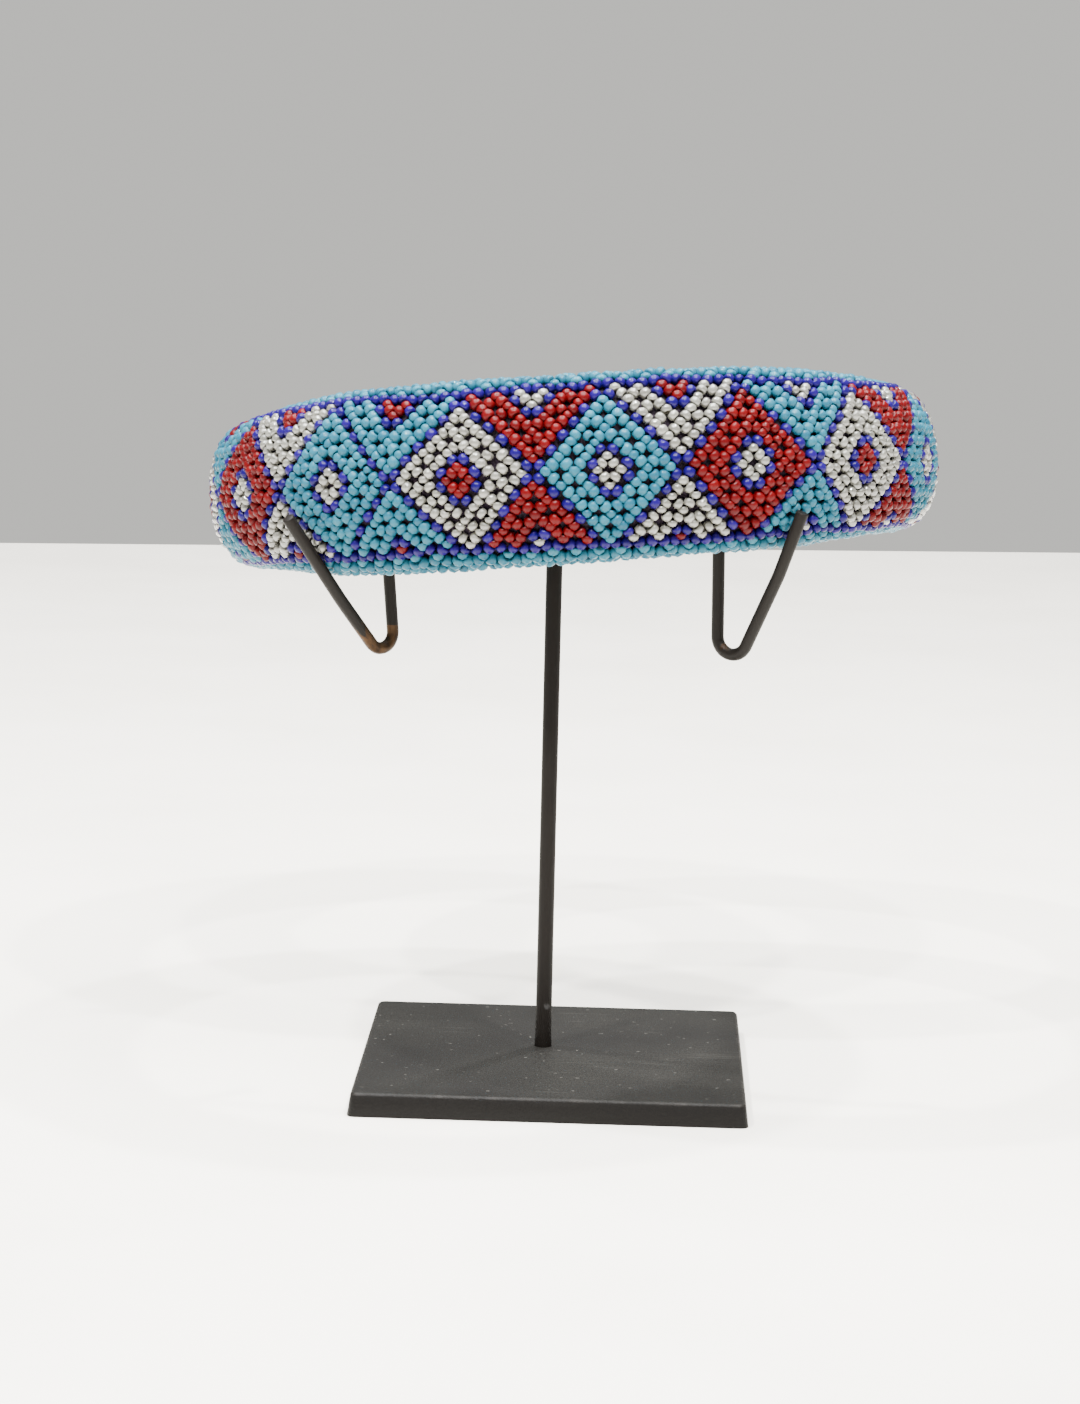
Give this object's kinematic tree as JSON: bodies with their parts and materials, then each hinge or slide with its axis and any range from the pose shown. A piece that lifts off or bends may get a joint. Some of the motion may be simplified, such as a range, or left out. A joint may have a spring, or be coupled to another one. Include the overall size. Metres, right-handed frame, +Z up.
{
  "type": "beaded headband on a display stand",
  "caption": "Padded ring headband covered in a net of seed beads with a diamond pattern, held by the hooks of a plain wire post on a square metal base.",
  "frame": {"origin": "on the surface the base plate rests on, under the axis of the post", "axes": "+Z up, -Y towards the front, where the hooks grip the band, +X to the right as seen from the front"},
  "size_m": [0.2304, 0.247, 0.2172],
  "materials": {
    "beads": "glossy glass seed beads netted over a dark padded core",
    "base_paint": "dusty worn black paint on steel",
    "stand_paint": "black paint on steel rod, rubbed to bare copper-brown metal in one bend"
  },
  "bodies": {
    "root": {"beaded_band": "beads", "stand_base": "base_paint", "post_with_hooks": "stand_paint"}
  },
  "joints": []
}
